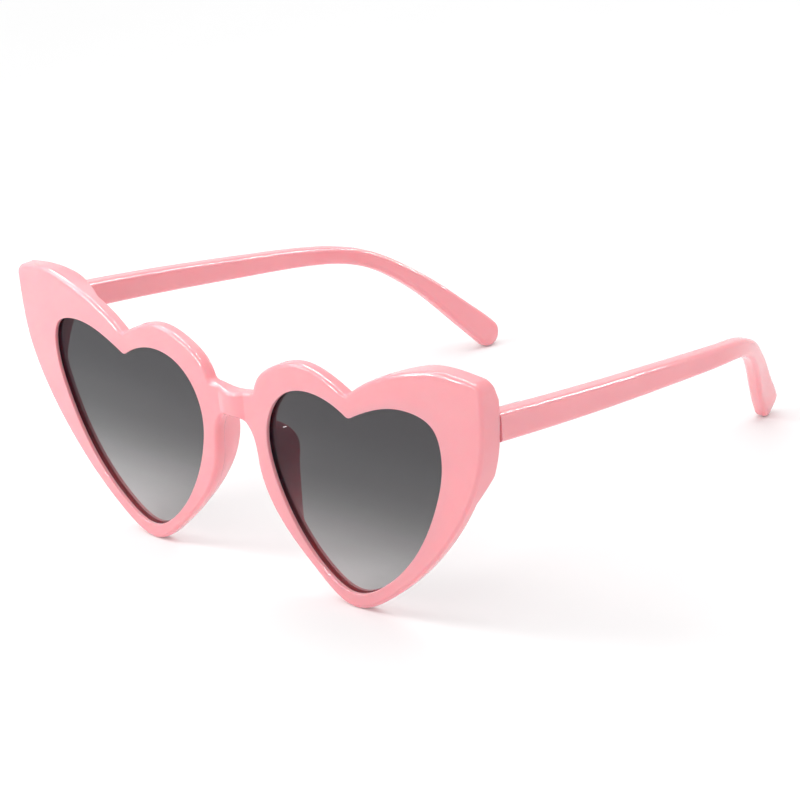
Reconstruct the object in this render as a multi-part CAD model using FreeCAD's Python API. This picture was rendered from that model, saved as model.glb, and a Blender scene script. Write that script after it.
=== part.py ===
import FreeCAD, Part
import math
import os

from FreeCAD import Vector

# Heart shaped sunglasses in millimetres: +Z up, +X to the wearer's left, the front faces -Y.
# They stand on the two heart points and the two temple tips, on the plane Z = 0.
# All pieces are drawn with the middle of the front face at Y = 0 and moved to the origin at the end.

# Lens openings
LENS_WIDTH = 50.35
LENS_HEIGHT = 46.9
LENS_GAP = 20.4
CLEFT_RADIUS = 1.4

# Stations round one heart: the opening's edge as shares of the lens width (outwards from the nose) and height
# (up from the heart point), then the rim's outer edge beside it as distances outwards and upwards from there
CLEFT = (0.497, 0.889, -0.1, 5.2)
OUTER_LOBE = [(0.640, 0.963, 0.0, 6.6), (0.846, 1.000, -1.8, 8.3)]
SHOULDER = (0.964, 0.951, 1.8, 12.8)
OUTER_SIDE = [
    (1.000, 0.836, 10.9, 1.6),
    (0.960, 0.593, 7.3, -1.5),
    (0.830, 0.313, 4.8, -0.9),
    (0.618, 0.081, 1.8, -2.5),
]
POINT = (0.433, 0.000, -0.5, -3.5)
INNER_SIDE = [
    (0.280, 0.079, -2.8, -1.1),
    (0.113, 0.288, -4.7, -0.2),
    (0.016, 0.534, -4.4, -1.0),
]
NASAL = (0.000, 0.678, -4.8, -0.5)
INNER_LOBE = [
    (0.058, 0.857, -4.2, 5.6),
    (0.153, 0.942, -3.8, 5.2),
    (0.286, 0.970, -2.2, 6.0),
    (0.405, 0.943, -0.4, 5.3),
]

# End piece outline, measured outwards and upwards from the shoulder of the opening's outer lobe
END_TOP = (8.8, 12.5)
END_CORNER = (13.5, 11.8)
END_SIDE = (13.4, 4.2)
END_CORNER_RADIUS = 2.6

# Bridge: its top and underside measured up from the nasal edge of the opening
BRIDGE_TOP = 8.9
BRIDGE_UNDERSIDE = 2.9
BRIDGE_TOP_POINT = (4.0, 0.4)
BRIDGE_UNDERSIDE_POINT = (2.9, -0.4)
NOTCH_FROM_LOBE = (-2.1, -4.4)
NOTCH_RADIUS = 1.5
BRIDGE_BULGE = 0.8
BRIDGE_BULGE_RADIUS = 10.0
BRIDGE_CREASE_RADIUS = 1.0
RIM_CLEFT_RADIUS = 0.8

# Front frame in depth: the rims are an even sheet, and ramps behind each outer lobe lead to the flat back of the
# thick end piece, whose inner edge and top are measured from the shoulder and the hinge
FACE_RADIUS = 1270.0
RIM_DEPTH = 2.9
END_DEPTH = 6.1
END_FLAT_START = 0.8
END_FLAT_RISE = 6.0
END_FLAT_RADIUS = 1.5
END_RAMP_ANGLE = 30.0
END_TOP_ANGLE = 20.0
END_RAMP_LEAN = 40.0
END_RAMP_RADIUS = 2.0
FRONT_EDGE_RADIUS = 0.9
BACK_EDGE_RADIUS = 0.5
OPENING_EDGE_RADIUS = 0.2

# Lenses in their grooves
LENS_THICKNESS = 1.2
LENS_SETBACK = 0.95
LENS_LIP = 0.9
LENS_CLEARANCE = 0.05

# Nose pads: heights as shares of the lens height, reach behind the rim
PAD_LEVELS = [(0.18, 0.08), (0.27, 0.34), (0.38, 0.70), (0.50, 0.94), (0.60, 1.00), (0.67, 0.76), (0.72, 0.28)]
PAD_REACH = 7.2
PAD_SPLAY = 0.28
PAD_EDGE = 1.4
PAD_INSET = 0.35
PAD_BULGE = 0.25
PAD_SINK = 0.5

# Hinges
HINGE_RISE = 1.1
KNUCKLE_RADIUS = 1.3
KNUCKLE_HEIGHT = 1.5
KNUCKLE_GAP = 0.06
KNUCKLE_CLEARANCE = 0.2
PIVOT_RADIUS = 0.6
PIVOT_CLEARANCE = 0.03
PIVOT_HEAD_RADIUS = 1.0
PIVOT_HEAD_HEIGHT = 0.5
LEAF_THICKNESS = 0.8
LEAF_CLEARANCE = 0.03
FRONT_LEAF_REACH = 3.5
FRONT_LEAF_HEIGHT = 5.6
TEMPLE_LEAF_LENGTH = 10.0
LEAF_CORNER_RADIUS = 0.6
SCREW_RADIUS = 0.45
SCREW_HEAD_RADIUS = 0.8
SCREW_HEAD_HEIGHT = 0.4
SCREW_LENGTH = 2.6
SCREW_MARGIN = 1.25
SCREW_SPACING = 3.2
SLOT_WIDTH = 0.28
SLOT_DEPTH = 0.22

# Temples: distance back from the end piece, inwards from the hinge end, height as a share of the hinge height,
# and the bar's height there
TEMPLE_STATIONS = [
    (-4.6, 0.0, 1.009, 6.7),
    (32.4, 0.0, 0.895, 6.0),
    (65.4, 2.3, 0.788, 5.2),
    (83.9, 4.5, 0.724, 4.6),
    (96.4, 8.0, 0.657, 4.3),
    (108.9, 14.0, 0.492, 4.6),
    (119.4, 20.0, 0.272, 6.2),
]
TEMPLE_TIP = (129.4, 25.0, 0.045, 7.2)
TEMPLE_THICKNESS = 4.5
TAIL_THICKNESS = 3.5
TEMPLE_EDGE_RADIUS = 1.1
TEMPLE_GAP = 0.1
BAR_SECTIONS = 18
TIP_SECTIONS = 6
BEYOND = 20.0

UP = Vector(0, 0, 1)
BACK = Vector(0, 1, 0)
OUT = Vector(1, 0, 0)
MIDDLE = Vector(0, 0, 0)


def opening_point(station):
    """Point of the right-hand opening's edge at a station."""
    across, up = station[:2]
    return Vector(LENS_GAP / 2 + across * LENS_WIDTH, 0, up * LENS_HEIGHT - POINT[3])


def rim_point(station):
    """Point of the rim's outer edge beside a station."""
    return opening_point(station) + Vector(station[2], 0, station[3])


def shifted(point, step):
    """Point moved outwards and upwards in the front's plane."""
    return point + Vector(step[0], 0, step[1])


def lengths_along(points):
    """Running length of the straight runs between points, the parameter of every curve here."""
    lengths = [0.0]
    for first, second in zip(points, points[1:]):
        lengths.append(lengths[-1] + first.distanceToPoint(second))
    return lengths


def curve_through(points, lengths=None):
    """Smooth curve through the points."""
    curve = Part.BSplineCurve()
    curve.interpolate(Points=points, Parameters=lengths or lengths_along(points))
    return curve


def mirrored(shape):
    """The same shape on the wearer's other side."""
    return shape.mirror(MIDDLE, OUT)


def edges_along_depth(shape, point):
    """Edges of a prism that run in depth through a point of its outline."""
    found = []
    for edge in shape.Edges:
        first, last = edge.Vertexes[0].Point, edge.Vertexes[-1].Point
        runs_back = abs(first.x - last.x) + abs(first.z - last.z) < 0.001
        if runs_back and math.hypot(abs(first.x) - point.x, first.z - point.z) < 0.05:
            found.append(edge)
    return found


def prism(wire):
    """Solid through the whole depth of the front, with this outline."""
    face = Part.Face(wire)
    face.translate(BACK * -BEYOND)
    return face.extrude(BACK * 2 * BEYOND)


def heart_prism(growth):
    """Prism with the outline of the opening, grown outwards all round."""
    outer = OUTER_LOBE + [SHOULDER] + OUTER_SIDE
    stations = [CLEFT] + outer + [POINT] + INNER_SIDE + [NASAL] + INNER_LOBE + [CLEFT]
    points = [opening_point(station) for station in stations]
    curve = curve_through(points)
    outward = [curve.tangent(length)[0].cross(BACK) for length in lengths_along(points)]
    moved = [point + normal * growth for point, normal in zip(points, outward)]
    cleft = points[0] + (outward[0] + outward[-1]) * (growth / (1 + outward[0].dot(outward[-1])))
    moved[0] = cleft
    moved[-1] = cleft
    lengths = lengths_along(moved)
    turn = lengths[len(outer) + 1]
    outline = curve_through(moved)
    edges = [outline.toShape(0, turn), outline.toShape(turn, lengths[-1])]
    solid = prism(Part.Wire(edges))
    return solid.makeFillet(CLEFT_RADIUS - growth, edges_along_depth(solid, cleft))


def face_drum(depth):
    """Everything behind the curved front face, from a depth behind it."""
    return Part.makeCylinder(FACE_RADIUS - depth, LENS_HEIGHT + 4 * BEYOND, Vector(0, FACE_RADIUS, -BEYOND), UP)


def face_depth(x):
    """How far back the front face curves at a distance from the middle."""
    return FACE_RADIUS - math.sqrt(FACE_RADIUS ** 2 - x ** 2)


def face_edges(shape):
    """Edges on the curved front face."""
    found = []
    for edge in shape.Edges:
        halfway = (edge.FirstParameter + edge.LastParameter) / 2
        points = [edge.valueAt(edge.FirstParameter), edge.valueAt(halfway)]
        if all(abs(point.y - face_depth(point.x)) < 0.001 for point in points):
            found.append(edge)
    return found


def sheet_edges(shape, walls, behind):
    """Edges of the front's face or back that border on so many side walls: none within it, one round it."""
    found = []
    for edge in shape.Edges:
        middle = edge.valueAt((edge.FirstParameter + edge.LastParameter) / 2)
        faces = shape.ancestorsOfType(edge, Part.Face)
        normals = [face.normalAt(*face.Surface.parameter(middle)) for face in faces]
        upright = [normal for normal in normals if abs(normal.y) < 0.001]
        if len(upright) == walls and (middle.y > face_depth(middle.x) + RIM_DEPTH / 2) == behind:
            found.append(edge)
    return found


# Places that the pieces share
SHOULDER_POINT = opening_point(SHOULDER)
NASAL_POINT = opening_point(NASAL)
HINGE_HEIGHT = SHOULDER_POINT.z + HINGE_RISE
CLEFT_RIM = rim_point(CLEFT)
CORNER = shifted(SHOULDER_POINT, END_CORNER)
NOTCH = shifted(rim_point(INNER_LOBE[0]), NOTCH_FROM_LOBE)
BRIDGE_TOP_MIDDLE = Vector(0, 0, NASAL_POINT.z + BRIDGE_TOP)
BRIDGE_UNDERSIDE_MIDDLE = Vector(0, 0, NASAL_POINT.z + BRIDGE_UNDERSIDE)
LOWER_HALF = [CORNER, shifted(SHOULDER_POINT, END_SIDE)]
LOWER_HALF += [rim_point(station) for station in OUTER_SIDE + [POINT] + INNER_SIDE + [NASAL]]
LOWER_HALF += [shifted(BRIDGE_UNDERSIDE_MIDDLE, BRIDGE_UNDERSIDE_POINT)]


def flipped(points):
    """The same points on the other side of the middle, in reverse order."""
    return [Vector(-point.x, point.y, point.z) for point in reversed(points)]


LOWER_CURVE = curve_through(LOWER_HALF + [BRIDGE_UNDERSIDE_MIDDLE] + flipped(LOWER_HALF))
NOSE_STATIONS = [POINT] + INNER_SIDE + [NASAL] + INNER_LOBE + [CLEFT]
OPENING_NOSE_CURVE = curve_through([opening_point(station) for station in NOSE_STATIONS])


def across_at(curve, height, near):
    """Distance from the middle at which an outline passes a height, close to a given distance."""
    level = Part.makeLine(Vector(0, 0, height), Vector(2 * CORNER.x, 0, height))
    pairs = curve.toShape().distToShape(level)[1]
    return min((pair[0].x for pair in pairs), key=lambda x: abs(x - near))


END_SIDE_X = across_at(LOWER_CURVE, HINGE_HEIGHT, CORNER.x)
TEMPLE_X = END_SIDE_X - TEMPLE_THICKNESS / 2
TEMPLE_INNER_X = END_SIDE_X - TEMPLE_THICKNESS
END_BACK = face_depth(TEMPLE_INNER_X) + END_DEPTH
PIVOT_X = TEMPLE_INNER_X - KNUCKLE_RADIUS - KNUCKLE_CLEARANCE
PIVOT_Y = END_BACK + KNUCKLE_RADIUS + KNUCKLE_CLEARANCE
HINGE_BAND = 3 * KNUCKLE_HEIGHT + 2 * KNUCKLE_GAP
HINGE_BOTTOM = HINGE_HEIGHT - HINGE_BAND / 2


def front_outline():
    """Closed outline of the whole front: both hearts and the bridge."""
    bridge_half = [NOTCH, shifted(BRIDGE_TOP_MIDDLE, BRIDGE_TOP_POINT)]
    bridge = curve_through(bridge_half + [BRIDGE_TOP_MIDDLE] + flipped(bridge_half)).toShape()
    lobe = [NOTCH] + [rim_point(station) for station in INNER_LOBE] + [CLEFT_RIM]
    top = [CLEFT_RIM] + [rim_point(station) for station in OUTER_LOBE + [SHOULDER]]
    top += [shifted(SHOULDER_POINT, END_TOP), CORNER]
    half = [curve_through(lobe).toShape(), curve_through(top).toShape()]
    whole = half + [mirrored(edge) for edge in half] + [bridge, LOWER_CURVE.toShape()]
    return Part.Wire(Part.sortEdges(whole)[0])


def block_outline(forward):
    """Outline of the thick end piece at a distance before its flat back, wider towards the nose and the top."""
    growth = forward / math.tan(math.radians(END_RAMP_ANGLE))
    rise_growth = forward / math.tan(math.radians(END_TOP_ANGLE))
    back = END_BACK - forward
    lean = math.radians(END_RAMP_LEAN)
    rise = Vector(-math.sin(lean), 0, math.cos(lean))
    inner = Vector(SHOULDER_POINT.x + END_FLAT_START - growth / math.cos(lean), back, HINGE_HEIGHT)
    foot = inner - rise * ((HINGE_HEIGHT + BEYOND) / rise.z)
    corner = inner + rise * ((END_FLAT_RISE + rise_growth) / rise.z)
    radius = END_FLAT_RADIUS + growth
    half_angle = (math.pi / 2 - lean) / 2
    run = radius / math.tan(half_angle)
    arc_start, arc_end = corner - rise * run, corner + OUT * run
    arc_middle = corner + (OUT - rise).normalize() * (radius / math.sin(half_angle) - radius)
    far_top, far_foot = Vector(2 * CORNER.x, back, corner.z), Vector(2 * CORNER.x, back, foot.z)
    return Part.Wire([
        Part.makeLine(foot, arc_start),
        Part.Arc(arc_start, arc_middle, arc_end).toShape(),
        Part.makeLine(arc_end, far_top),
        Part.makeLine(far_top, far_foot),
        Part.makeLine(far_foot, foot),
    ])


def end_block():
    """Thick end piece with ramps towards the nose and the top, wider than the front's outline."""
    return Part.makeLoft([block_outline(END_DEPTH), block_outline(0)], True, True)


def rounded(shape, radius, edges):
    """Shape with these edges rounded, less where the full radius doesn't fit."""
    for share in (1.0, 0.7, 0.4):
        try:
            result = shape.makeFillet(radius * share, edges)
        except Part.OCCError:
            continue
        if result.isValid():
            return result
    return shape


def front_frame():
    """Both rims, the bridge and the end pieces as one moulding, with a groove for each lens."""
    outline = prism(front_outline())
    for point, radius in ((CLEFT_RIM, RIM_CLEFT_RADIUS), (CORNER, END_CORNER_RADIUS), (NOTCH, NOTCH_RADIUS)):
        outline = outline.makeFillet(radius, edges_along_depth(outline, point))
    block = end_block()
    behind = face_drum(RIM_DEPTH).cut([block, mirrored(block)])
    bulge_axis = Vector(0, BRIDGE_BULGE_RADIUS - BRIDGE_BULGE, -BEYOND)
    bulge = Part.makeCylinder(BRIDGE_BULGE_RADIUS, LENS_HEIGHT + 4 * BEYOND, bulge_axis, UP)
    body = outline.common(face_drum(0).fuse(bulge)).cut(behind).Solids[0]
    body = rounded(body, END_RAMP_RADIUS, sheet_edges(body, 0, True))
    body = rounded(body, BRIDGE_CREASE_RADIUS, sheet_edges(body, 0, False))
    body = rounded(body, BACK_EDGE_RADIUS, sheet_edges(body, 1, True))
    body = rounded(body, FRONT_EDGE_RADIUS, sheet_edges(body, 1, False))
    known = [edge.CenterOfMass for edge in face_edges(body)]
    opening = heart_prism(0)
    body = body.cut([opening, mirrored(opening)]).Solids[0]
    fresh = [e for e in face_edges(body) if min(e.CenterOfMass.distanceToPoint(k) for k in known) > 0.01]
    body = rounded(body, OPENING_EDGE_RADIUS, fresh)
    groove_front = LENS_SETBACK - LENS_CLEARANCE
    groove_back = LENS_SETBACK + LENS_THICKNESS + LENS_CLEARANCE
    groove = heart_prism(LENS_LIP + LENS_CLEARANCE).common(face_drum(groove_front)).cut(face_drum(groove_back))
    return body.cut([groove, mirrored(groove)]).Solids[0]


def lens():
    """Tinted sheet lens with the outline of the groove."""
    sheet = heart_prism(LENS_LIP).common(face_drum(LENS_SETBACK))
    return sheet.cut(face_drum(LENS_SETBACK + LENS_THICKNESS)).Solids[0]


def pad_section(height, share):
    """Outline of a nose pad at one height, from the rim's back to its rounded rear edge."""
    wall = across_at(LOWER_CURVE, height, 0) + PAD_INSET
    inner = across_at(OPENING_NOSE_CURVE, height, NASAL_POINT.x) - PAD_INSET
    back = face_depth(wall) + RIM_DEPTH
    reach = PAD_REACH * share
    half = PAD_EDGE / 2
    nose = Vector(wall, back - PAD_SINK, height)
    lens_side = Vector(inner, back - PAD_SINK, height)
    rear = Vector(wall + half + PAD_SPLAY * reach, back + reach, height)
    left = rear + Vector(-half, -half * share, 0)
    right = rear + Vector(half, -half * share, 0)
    swell = (nose + left) * 0.5 + Vector(-PAD_BULGE * share, 0, 0)
    return Part.Wire([
        Part.Arc(nose, swell, left).toShape(),
        Part.Arc(left, rear, right).toShape(),
        Part.makeLine(right, lens_side),
        Part.makeLine(lens_side, nose),
    ])


def nose_pad(frame):
    """Pad bonded to the back of the rim beside the nose, splayed outwards to the rear."""
    base = opening_point(POINT).z
    wires = [pad_section(base + level * LENS_HEIGHT, share) for level, share in PAD_LEVELS]
    return Part.makeLoft(wires, True).cut(frame).Solids[0]


def rounded_plate(size, corner):
    """Flat plate from the origin, its four edges along Y rounded."""
    plate = Part.makeBox(size.x, size.y, size.z)
    edges = [e for e in plate.Edges if abs(e.Vertexes[0].Y - e.Vertexes[-1].Y) > size.y / 2]
    return plate.makeFillet(corner, edges)


def knuckle(index):
    """One hinge knuckle, counted from the bottom."""
    bottom = HINGE_BOTTOM + index * (KNUCKLE_HEIGHT + KNUCKLE_GAP)
    return Part.makeCylinder(KNUCKLE_RADIUS, KNUCKLE_HEIGHT, Vector(PIVOT_X, PIVOT_Y, bottom), UP)


def leaf_screw(extra):
    """Countersunk screw along +Y from its flat head at the origin, or the hole for it with some extra room."""
    shank = Part.makeCylinder(SCREW_RADIUS + extra, SCREW_LENGTH + extra, MIDDLE, BACK)
    cone = Part.makeCone(SCREW_HEAD_RADIUS + extra, SCREW_RADIUS + extra, SCREW_HEAD_HEIGHT, MIDDLE, BACK)
    return shank.fuse(cone).removeSplitter()


def slotted(screw):
    """A leaf screw with its driver slot."""
    slot = Part.makeBox(
        4 * SCREW_HEAD_RADIUS, SLOT_DEPTH, SLOT_WIDTH,
        Vector(-2 * SCREW_HEAD_RADIUS, 0, -SLOT_WIDTH / 2),
    )
    return screw.cut(slot)


def placed(shape, position, turn, axis):
    """Copy of a shape turned about an axis through the origin, then moved."""
    copy = shape.copy()
    copy.rotate(MIDDLE, axis, turn)
    copy.translate(position)
    return copy


def front_screw_places():
    """Heads of the two screws in the front leaf, on the nose side of the knuckles; the screws point forwards."""
    x = PIVOT_X - FRONT_LEAF_REACH + SCREW_MARGIN
    rise = FRONT_LEAF_HEIGHT / 2 - SCREW_MARGIN
    return [Vector(x, END_BACK, HINGE_HEIGHT + side * rise) for side in (-1, 1)]


def temple_slope():
    """Downward slope of the temple's first stretch, in degrees."""
    first, second = TEMPLE_STATIONS[:2]
    return math.degrees(math.atan2(HINGE_HEIGHT * (first[2] - second[2]), second[0] - first[0]))


def temple_screw_places():
    """Heads of the two screws in the temple leaf; the screws point outwards."""
    run = Vector(0, math.cos(math.radians(temple_slope())), -math.sin(math.radians(temple_slope())))
    start = Vector(TEMPLE_INNER_X, PIVOT_Y, HINGE_HEIGHT)
    last = TEMPLE_LEAF_LENGTH - SCREW_MARGIN
    return [start + run * (last - SCREW_SPACING), start + run * last]


def leaf_screws(places, turn, axis, extra=0.0):
    """The screws of one leaf, or the holes for them."""
    screw = leaf_screw(extra)
    if not extra:
        screw = slotted(screw)
    return [placed(screw, place, turn, axis) for place in places]


def front_screws(extra=0.0):
    """Screws of the front leaf: they point towards -Y."""
    return leaf_screws(front_screw_places(), 180, UP, extra)


def temple_screws(extra=0.0):
    """Screws of the temple leaf: they point towards +X."""
    return leaf_screws(temple_screw_places(), -90, UP, extra)


def front_leaf_plate(extra):
    """Plate let into the back of the end piece, or its pocket with extra room all round."""
    reach = FRONT_LEAF_REACH + KNUCKLE_RADIUS
    size = Vector(reach + 2 * extra, LEAF_THICKNESS + extra, FRONT_LEAF_HEIGHT + 2 * extra)
    plate = rounded_plate(size, LEAF_CORNER_RADIUS)
    bottom = HINGE_HEIGHT - FRONT_LEAF_HEIGHT / 2
    plate.translate(Vector(PIVOT_X - FRONT_LEAF_REACH - extra, END_BACK - LEAF_THICKNESS - extra, bottom - extra))
    return plate


def temple_leaf_plate(extra):
    """Plate let into the temple's inner face along its slope, or its pocket with extra room all round."""
    size = Vector(TEMPLE_LEAF_LENGTH + 2 * extra, LEAF_THICKNESS + extra, HINGE_BAND + 2 * extra)
    plate = rounded_plate(size, LEAF_CORNER_RADIUS)
    plate.translate(Vector(-extra, -LEAF_THICKNESS - extra, -HINGE_BAND / 2 - extra))
    plate.rotate(MIDDLE, UP, 90)
    plate.rotate(MIDDLE, OUT, -temple_slope())
    plate.translate(Vector(TEMPLE_INNER_X, PIVOT_Y, HINGE_HEIGHT))
    return plate


def front_hinge():
    """Front leaf with the bottom and top knuckles."""
    leaf = front_leaf_plate(0)
    for index in (0, 2):
        bottom = HINGE_BOTTOM + index * (KNUCKLE_HEIGHT + KNUCKLE_GAP)
        neck = Part.makeBox(
            2 * KNUCKLE_RADIUS, PIVOT_Y - END_BACK + LEAF_THICKNESS / 2, KNUCKLE_HEIGHT,
            Vector(PIVOT_X - KNUCKLE_RADIUS, END_BACK - LEAF_THICKNESS / 2, bottom),
        )
        leaf = leaf.fuse([neck, knuckle(index)])
    bore = Part.makeCylinder(PIVOT_RADIUS + PIVOT_CLEARANCE, HINGE_BAND, Vector(PIVOT_X, PIVOT_Y, HINGE_BOTTOM), UP)
    return leaf.removeSplitter().cut([bore] + front_screws(LEAF_CLEARANCE)).Solids[0]


def temple_hinge():
    """Temple leaf with the middle knuckle."""
    middle = knuckle(1)
    bottom = middle.BoundBox.ZMin
    neck = Part.makeBox(
        TEMPLE_INNER_X - PIVOT_X + LEAF_THICKNESS / 2, KNUCKLE_RADIUS, KNUCKLE_HEIGHT,
        Vector(PIVOT_X, PIVOT_Y, bottom),
    )
    bore = Part.makeCylinder(PIVOT_RADIUS + PIVOT_CLEARANCE, KNUCKLE_HEIGHT, Vector(PIVOT_X, PIVOT_Y, bottom), UP)
    leaf = temple_leaf_plate(0).fuse([neck, middle]).removeSplitter()
    return leaf.cut([bore] + temple_screws(LEAF_CLEARANCE)).Solids[0]


def pivot_screw():
    """Pivot screw from above through the three knuckles, with a slotted head."""
    foot = Vector(PIVOT_X, PIVOT_Y, HINGE_BOTTOM)
    top = foot + UP * HINGE_BAND
    shank = Part.makeCylinder(PIVOT_RADIUS, HINGE_BAND, foot, UP)
    head = Part.makeCylinder(PIVOT_HEAD_RADIUS, PIVOT_HEAD_HEIGHT, top, UP)
    slot = Part.makeBox(
        4 * PIVOT_HEAD_RADIUS, SLOT_WIDTH, SLOT_DEPTH,
        top + Vector(-2 * PIVOT_HEAD_RADIUS, -SLOT_WIDTH / 2, PIVOT_HEAD_HEIGHT - SLOT_DEPTH),
    )
    return shank.fuse(head).cut(slot).removeSplitter()


def bar_section(centre, direction, thickness, height):
    """Rounded rectangle across the temple's path, its flat side turned outwards."""
    side = (OUT - direction * OUT.dot(direction)).normalize()
    rise = side.cross(direction).normalize()
    radius = min(TEMPLE_EDGE_RADIUS, 0.45 * thickness, 0.45 * height)
    edges = []
    corners = [(1, -1), (1, 1), (-1, 1), (-1, -1)]
    slant = radius * (1 - math.sqrt(0.5))

    def at(a, b):
        return centre + side * a + rise * b

    for index, (a, b) in enumerate(corners):
        next_a, next_b = corners[(index + 1) % 4]
        wide, tall = thickness / 2, height / 2
        if a == b:
            arc_start, arc_end = at(a * wide, b * (tall - radius)), at(a * (wide - radius), b * tall)
        else:
            arc_start, arc_end = at(a * (wide - radius), b * tall), at(a * wide, b * (tall - radius))
        if next_a == next_b:
            line_end = at(next_a * wide, next_b * (tall - radius))
        else:
            line_end = at(next_a * (wide - radius), next_b * tall)
        edges.append(Part.Arc(arc_start, at(a * (wide - slant), b * (tall - slant)), arc_end).toShape())
        edges.append(Part.makeLine(arc_end, line_end))
    return Part.Wire(edges)


def temple_bar(drop):
    """Flat bar that narrows towards the ear, then bends down and in and widens into a rounded paddle.

    The drop lowers the tip and fades out towards the hinge.
    """
    stations = TEMPLE_STATIONS + [TEMPLE_TIP]
    points = []
    for back, inward, share, _ in stations:
        points.append(Vector(TEMPLE_X - inward, END_BACK + back, share * HINGE_HEIGHT - drop * (1 - share)))
    lengths = lengths_along(points)
    whole, half = lengths[-1], TEMPLE_TIP[3] / 2
    thinning = (TAIL_THICKNESS - TEMPLE_THICKNESS) / whole
    sizes = [Vector(TEMPLE_THICKNESS + thinning * at, station[3], 0) for at, station in zip(lengths, stations)]
    path, size = curve_through(points, lengths), curve_through(sizes, lengths)
    bar = []
    for step in range(BAR_SECTIONS):
        at = (whole - half) * step / (BAR_SECTIONS - 1)
        bar.append(bar_section(path.value(at), path.tangent(at)[0], size.value(at).x, size.value(at).y))
    tip = bar[-1:]
    for step in range(1, TIP_SECTIONS):
        angle = math.pi / 2 * step / (TIP_SECTIONS - 0.7)
        at = whole - half + half * math.sin(angle)
        thickness = size.value(at).x - 2 * TEMPLE_EDGE_RADIUS * (1 - math.cos(angle))
        tip.append(bar_section(path.value(at), path.tangent(at)[0], thickness, TEMPLE_TIP[3] * math.cos(angle)))
    return Part.makeLoft(bar, True).fuse(Part.makeLoft(tip, True))


def temple():
    """Temple bar standing on its tip, cut off behind the end piece, with the pocket for its hinge leaf."""
    drop = temple_bar(0.0).optimalBoundingBox(False).ZMin
    bar = temple_bar(drop / (1 - TEMPLE_TIP[2]))
    bar.translate(UP * -bar.optimalBoundingBox(False).ZMin)
    length = TEMPLE_TIP[0] + BEYOND
    room = Part.makeBox(
        2 * CORNER.x, length, HINGE_HEIGHT + 2 * BEYOND,
        Vector(0, END_BACK + TEMPLE_GAP, -BEYOND),
    )
    return bar.common(room).cut([temple_leaf_plate(LEAF_CLEARANCE)] + temple_screws(LEAF_CLEARANCE)).Solids[0]


def build():
    """Every node of the part by name."""
    frame = front_frame()
    pockets = [front_leaf_plate(LEAF_CLEARANCE)] + front_screws(LEAF_CLEARANCE)
    one_side = {
        "lens": lens(),
        "nose_pad": nose_pad(frame),
        "front_hinge": front_hinge(),
        "front_hinge_screws": Part.makeCompound(front_screws()),
        "hinge_screw": pivot_screw(),
        "temple": temple(),
        "temple_hinge": temple_hinge(),
        "temple_hinge_screws": Part.makeCompound(temple_screws()),
    }
    nodes = {"front_frame": frame.cut(pockets + [mirrored(pocket) for pocket in pockets]).Solids[0]}
    for name, shape in one_side.items():
        nodes[name + "_left"] = shape
        nodes[name + "_right"] = mirrored(shape)
    return nodes


def main():
    """Write every node with the origin under the middle of the glasses' box."""
    os.makedirs("parts", exist_ok=True)
    nodes = build()
    box = Part.makeCompound(list(nodes.values())).optimalBoundingBox(False)
    shift = BACK * (-box.Center.y)
    for name, shape in nodes.items():
        shape.translate(shift)
        shape.exportStep("parts/" + name + ".step")
        print(name, "solids", len(shape.Solids), "valid", shape.isValid(), "volume", round(shape.Volume, 2))
    print("size", round(box.XLength, 2), round(box.YLength, 2), round(box.ZLength, 2), "shift", round(shift.y, 4))
    print("pivot", round(PIVOT_X, 4), round(PIVOT_Y + shift.y, 4), round(HINGE_HEIGHT, 4))


main()
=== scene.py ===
from math import radians

import bpy
from mathutils import Euler, Matrix, Vector


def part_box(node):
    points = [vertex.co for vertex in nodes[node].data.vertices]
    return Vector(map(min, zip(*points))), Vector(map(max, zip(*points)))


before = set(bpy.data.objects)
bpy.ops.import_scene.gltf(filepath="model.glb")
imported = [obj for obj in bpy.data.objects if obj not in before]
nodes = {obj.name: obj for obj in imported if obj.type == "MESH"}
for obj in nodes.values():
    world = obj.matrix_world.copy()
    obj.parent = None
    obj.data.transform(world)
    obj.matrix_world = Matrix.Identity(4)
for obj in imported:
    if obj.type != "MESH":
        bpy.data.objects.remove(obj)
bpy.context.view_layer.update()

# Camera at the photograph's viewing angle, for an image of 800 by 800 pixels: its place in metres, and in
# degrees its tilt up from straight down, its roll and its turn about the vertical
IMAGE_PIXELS = 800
FOCAL_PIXELS = 2682.54
SENSOR_MM = 36.0
CAMERA_PLACE = (0.408149, -0.433837, 0.262432)
CAMERA_TILT = 67.6547
CAMERA_ROLL = 4.4483
CAMERA_TURN = 42.4956
CAMERA_NEAREST = 0.01
CAMERA_FURTHEST = 50.0

# Colours in linear light
WHITE = (1.0, 1.0, 1.0, 1.0)
PINK = (0.90, 0.378, 0.412)
PINK_DEEP = (0.89, 0.358, 0.392)
PAD_PINK = (0.90, 0.375, 0.415)
PAD_DEEP = (0.89, 0.355, 0.395)
LENS_TINT = (0.004, 0.001, 0.007)
LENS_TINT_LOW = (0.004, 0.010, 0.012)
STEEL = (0.60, 0.60, 0.62)
STEEL_DARK = (0.42, 0.42, 0.44)
FLOOR_WHITE = (0.91, 0.91, 0.91)
FLOOR_GREYER = (0.9009, 0.9009, 0.9009)

# Noise on each surface: its scale per metre and its detail, and the values between which a colour changes
PLASTIC_CLOUDS = (70.0, 3.0)
PLASTIC_POLISH = (240.0, 4.0)
PLASTIC_WAVES = (320.0, 2.0)
LENS_POLISH = (90.0, 2.0)
STEEL_STREAKS = (900.0, 5.0)
FLOOR_GRAIN = (30.0, 2.0)
NOISE_LOW = 0.3
NOISE_HIGH = 0.7

# Stretch of the noise along each axis
EVEN = (1.0, 1.0, 1.0)
DRAWN_UPWARDS = (1.0, 1.0, 0.08)

# Roughness at two values of the noise
PLASTIC_ROUGHNESS = [(0.25, 0.015), (0.75, 0.035)]
LENS_ROUGHNESS = [(0.3, 0.02), (0.7, 0.05)]
STEEL_ROUGHNESS = [(0.2, 0.22), (0.8, 0.38)]

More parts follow.
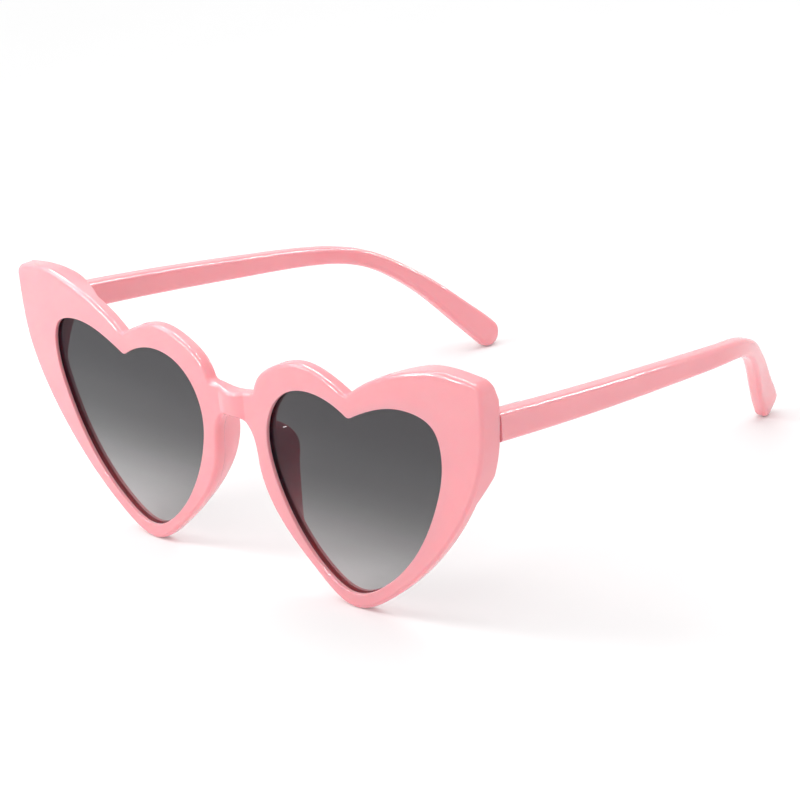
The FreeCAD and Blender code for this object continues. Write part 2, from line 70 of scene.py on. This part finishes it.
# Fine relief: its strength, and its depth in metres
PLASTIC_RELIEF = (0.005, 0.0001)
STEEL_RELIEF = (0.1, 0.00005)

# Plastic: how it bends light, how much light enters it, and how far each colour travels inside in metres
PLASTIC_INDEX = 1.49
PLASTIC_GLOW = 0.6
PLASTIC_GLOW_SHARES = (1.0, 0.15, 0.22)
PLASTIC_GLOW_REACH = 0.0025

# Lens: how mirror-like it is, and how much of the light each of its sides stops, at shares of its height from
# the heart point up
LENS_MIRROR = 0.07
LENS_STOPS = [
    (0.07, 0.316), (0.16, 0.36), (0.25, 0.425), (0.45, 0.595), (0.56, 0.653), (0.8, 0.71), (0.93, 0.722),
]

# Floor: half its width in metres, its roughness, how much of its own shading shows near the object, the
# distance in metres at which nearness falls to nothing, and the nearness where white starts and is full
FLOOR_HALF = 6.0
FLOOR_ROUGHNESS = 0.9
FLOOR_SHADING = 0.9
FLOOR_REACH = 0.8
FLOOR_NEAR = 0.6
FLOOR_FAR = 0.1

# Plain soft light all round, and lamps that face one point: place, sides in metres, watts and the direction
# of the first side
SOFT_LIGHT = 0.71
LAMP_AIM = (0.0, -0.06, 0.04)
SIDEWAYS = (1.0, 0.0, 0.0)
LAMPS = {
    "overhead": ((0.0, 0.1, 1.3), (1.6, 1.6), 10.0, SIDEWAYS),
    "key": ((-0.20, -0.21, 0.21), (0.12, 0.12), 0.42, SIDEWAYS),
}

# Strip lamps, written in the same way, that show only as bright lines along the edges
STRIPS = {
    "low_strip": ((-0.289, -0.665, 0.119), (0.50, 0.04), 5.0, (0.90, -0.43, -0.09)),
    "high_strip": ((-0.03, -0.02, 0.585), (1.0, 0.04), 8.0, (0.966, -0.249, 0.074)),
    "rear_strip": ((0.24, 0.574, 0.41), (0.07, 0.30), 3.5, SIDEWAYS),
}


def new_material(name):
    """New material, its node tree and its principled shader."""
    material = bpy.data.materials.new(name)
    material.use_nodes = True
    return material, material.node_tree, material.node_tree.nodes["Principled BSDF"]


def add_node(tree, kind, **inputs):
    """New node with some of its input values set."""
    node = tree.nodes.new(kind)
    for key, value in inputs.items():
        node.inputs[key.replace("_", " ")].default_value = value
    return node


def add_math(tree, operation, first, second):
    """One value made from two."""
    node = tree.nodes.new("ShaderNodeMath")
    node.operation = operation
    tree.links.new(first, node.inputs[0])
    tree.links.new(second, node.inputs[1])
    return node.outputs["Value"]


def ramp(tree, source, stops):
    """Colour ramp over a value, with grey or coloured stops."""
    node = tree.nodes.new("ShaderNodeValToRGB")
    elements = node.color_ramp.elements
    while len(elements) < len(stops):
        elements.new(0.5)
    for element, (place, colour) in zip(elements, stops):
        element.position = place
        channels = (colour,) * 3 if isinstance(colour, float) else colour
        element.color = (*channels, 1.0)
    tree.links.new(source, node.inputs["Fac"])
    return node.outputs["Color"]


def vary(tree, shader, socket, source, stops):
    """Lets a value drive one socket of a shader through a ramp."""
    tree.links.new(ramp(tree, source, stops), shader.inputs[socket])


def scaled_place(tree, scale):
    """Place on the piece in its own coordinates in metres, scaled along each axis."""
    place = tree.nodes.new("ShaderNodeTexCoord")
    mapping = add_node(tree, "ShaderNodeMapping", Scale=scale)
    tree.links.new(place.outputs["Object"], mapping.inputs["Vector"])
    return mapping.outputs["Vector"]


def object_noise(tree, grain, stretch=EVEN):
    """Noise fixed to the piece."""
    scale, detail = grain
    place = scaled_place(tree, stretch)
    noise = add_node(tree, "ShaderNodeTexNoise", Scale=scale, Detail=detail)
    tree.links.new(place, noise.inputs["Vector"])
    return noise.outputs["Fac"]


def add_bump(tree, shader, height, relief):
    """Fine relief on a shader from a height value."""
    strength, depth = relief
    bump = add_node(tree, "ShaderNodeBump", Strength=strength, Distance=depth)
    tree.links.new(height, bump.inputs["Height"])
    tree.links.new(bump.outputs["Normal"], shader.inputs["Normal"])


def plastic(name, light, deep):
    """Glossy moulded plastic: faint clouding in the colour and polish, and a slight waviness."""
    material, tree, shader = new_material(name)
    clouds = object_noise(tree, PLASTIC_CLOUDS)
    vary(tree, shader, "Base Color", clouds, [(NOISE_LOW, deep), (NOISE_HIGH, light)])
    vary(tree, shader, "Roughness", object_noise(tree, PLASTIC_POLISH), PLASTIC_ROUGHNESS)
    shader.inputs["IOR"].default_value = PLASTIC_INDEX
    shader.inputs["Subsurface Weight"].default_value = PLASTIC_GLOW
    shader.inputs["Subsurface Radius"].default_value = PLASTIC_GLOW_SHARES
    shader.inputs["Subsurface Scale"].default_value = PLASTIC_GLOW_REACH
    add_bump(tree, shader, object_noise(tree, PLASTIC_WAVES), PLASTIC_RELIEF)
    return material


def tinted_lens(name, node):
    """Grey sheet whose tint fades from the top to the heart point."""
    material, tree, shader = new_material(name)
    low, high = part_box(node)
    place = tree.nodes.new("ShaderNodeTexCoord")
    parts = tree.nodes.new("ShaderNodeSeparateXYZ")
    height = add_node(tree, "ShaderNodeMapRange", From_Min=low.z, From_Max=high.z)
    tree.links.new(place.outputs["Object"], parts.inputs["Vector"])
    tree.links.new(parts.outputs["Z"], height.inputs["Value"])
    share = height.outputs["Result"]
    vary(tree, shader, "Alpha", share, LENS_STOPS)
    vary(tree, shader, "Base Color", share, [(0.0, LENS_TINT_LOW), (1.0, LENS_TINT)])
    vary(tree, shader, "Roughness", object_noise(tree, LENS_POLISH), LENS_ROUGHNESS)
    shader.inputs["Specular IOR Level"].default_value = LENS_MIRROR
    return material


def steel(name, stretch):
    """Steel with fine streaks."""
    material, tree, shader = new_material(name)
    streaks = object_noise(tree, STEEL_STREAKS, stretch)
    vary(tree, shader, "Base Color", streaks, [(NOISE_LOW, STEEL_DARK), (NOISE_HIGH, STEEL)])
    vary(tree, shader, "Roughness", streaks, STEEL_ROUGHNESS)
    shader.inputs["Metallic"].default_value = 1.0
    add_bump(tree, shader, streaks, STEEL_RELIEF)
    return material


def paint(names, material):
    """Gives CAD nodes a material."""
    for name in names:
        slots = nodes[name].data.materials
        slots.clear()
        slots.append(material)


def even_shading(names):
    """Gives the broad faces of CAD nodes the say in how their rounded edges shade."""
    for name in names:
        nodes[name].modifiers.new("even_shading", "WEIGHTED_NORMAL").keep_sharp = True


def both(*names):
    """The left and right node of each name."""
    return [name + side for name in names for side in ("_left", "_right")]


def seen_directly(tree):
    """One for camera rays, mirrored rays and rays through glass, else nothing."""
    path = tree.nodes.new("ShaderNodeLightPath")
    seen = path.outputs["Is Camera Ray"]
    for kind in ("Is Glossy Ray", "Is Transmission Ray"):
        seen = add_math(tree, "MAXIMUM", seen, path.outputs[kind])
    return seen


def mix_shaders(tree, share, first, second, output):
    """Blend from one shader to another, joined to the output."""
    mix = tree.nodes.new("ShaderNodeMixShader")
    tree.links.new(share, mix.inputs["Fac"])
    tree.links.new(first, mix.inputs[1])
    tree.links.new(second, mix.inputs[2])
    tree.links.new(mix.outputs["Shader"], tree.nodes[output].inputs["Surface"])


def pale_floor():
    """Pale material that shows shadows near the object and is seen as white further out."""
    material, tree, shader = new_material("pale_floor")
    grain = object_noise(tree, FLOOR_GRAIN)
    vary(tree, shader, "Base Color", grain, [(NOISE_LOW, FLOOR_GREYER), (NOISE_HIGH, FLOOR_WHITE)])
    shader.inputs["Roughness"].default_value = FLOOR_ROUGHNESS
    shader.inputs["Specular IOR Level"].default_value = 0.0
    white = add_node(tree, "ShaderNodeEmission", Color=WHITE, Strength=1.0)
    nearness = tree.nodes.new("ShaderNodeTexGradient")
    nearness.gradient_type = "SPHERICAL"
    tree.links.new(scaled_place(tree, (1.0 / FLOOR_REACH,) * 3), nearness.inputs["Vector"])
    stops = [(FLOOR_FAR, 1.0), (FLOOR_NEAR, 1.0 - FLOOR_SHADING)]
    whiteness = ramp(tree, nearness.outputs["Fac"], stops)
    share = add_math(tree, "MULTIPLY", seen_directly(tree), whiteness)
    mix_shaders(tree, share, shader.outputs["BSDF"], white.outputs["Emission"], "Material Output")
    return material


def add_floor():
    """Wide floor under the glasses."""
    mesh = bpy.data.meshes.new("floor")
    signs = ((-1, -1), (1, -1), (1, 1), (-1, 1))
    mesh.from_pydata([(x * FLOOR_HALF, y * FLOOR_HALF, 0.0) for x, y in signs], [], [(0, 1, 2, 3)])
    floor = bpy.data.objects.new("floor", mesh)
    bpy.context.scene.collection.objects.link(floor)
    mesh.materials.append(pale_floor())


def add_world():
    """White surroundings where they are seen, and a plain soft light on the object."""
    world = bpy.data.worlds.new("studio")
    bpy.context.scene.world = world
    world.use_nodes = True
    tree = world.node_tree
    soft = tree.nodes["Background"]
    white = tree.nodes.new("ShaderNodeBackground")
    for node, strength in ((soft, SOFT_LIGHT), (white, 1.0)):
        node.inputs["Color"].default_value = WHITE
        node.inputs["Strength"].default_value = strength
    share = seen_directly(tree)
    mix_shaders(tree, share, soft.outputs["Background"], white.outputs["Background"], "World Output")


def add_softbox(name, place, size, watts, along, only_mirrored):
    """Soft lamp that faces the glasses, its first side turned along a direction."""
    lamp = bpy.data.lights.new(name, "AREA")
    lamp.shape = "RECTANGLE"
    lamp.size, lamp.size_y = size
    lamp.energy = watts
    softbox = bpy.data.objects.new(name, lamp)
    away = (Vector(place) - Vector(LAMP_AIM)).normalized()
    side = (Vector(along) - away * away.dot(Vector(along))).normalized()
    turn = Matrix([side, away.cross(side), away]).transposed().to_4x4()
    softbox.matrix_world = Matrix.Translation(place) @ turn
    softbox.visible_camera = False
    softbox.visible_diffuse = not only_mirrored
    bpy.context.scene.collection.objects.link(softbox)


def add_camera():
    """Camera that sees the object as the photograph does."""
    camera = bpy.data.cameras.new("camera")
    camera.sensor_width = SENSOR_MM
    camera.lens = FOCAL_PIXELS / IMAGE_PIXELS * SENSOR_MM
    camera.clip_start = CAMERA_NEAREST
    camera.clip_end = CAMERA_FURTHEST
    rig = bpy.data.objects.new("camera", camera)
    angles = Euler([radians(angle) for angle in (CAMERA_TILT, CAMERA_ROLL, CAMERA_TURN)])
    rig.matrix_world = Matrix.Translation(CAMERA_PLACE) @ angles.to_matrix().to_4x4()
    bpy.context.scene.collection.objects.link(rig)
    bpy.context.scene.camera = rig


paint(["front_frame"] + both("temple"), plastic("pink_plastic", PINK, PINK_DEEP))
paint(both("nose_pad"), plastic("pad_plastic", PAD_PINK, PAD_DEEP))
paint(both("lens"), tinted_lens("tinted_lens", "lens_left"))
paint(both("front_hinge", "temple_hinge"), steel("hinge_steel", DRAWN_UPWARDS))
paint(both("front_hinge_screws", "temple_hinge_screws", "hinge_screw"), steel("screw_steel", EVEN))
even_shading(["front_frame"] + both("temple", "nose_pad"))
add_floor()
add_world()
for name, lamp in LAMPS.items():
    add_softbox(name, *lamp, only_mirrored=False)
for name, strip in STRIPS.items():
    add_softbox(name, *strip, only_mirrored=True)
add_camera()
bpy.context.scene.view_settings.view_transform = "Standard"
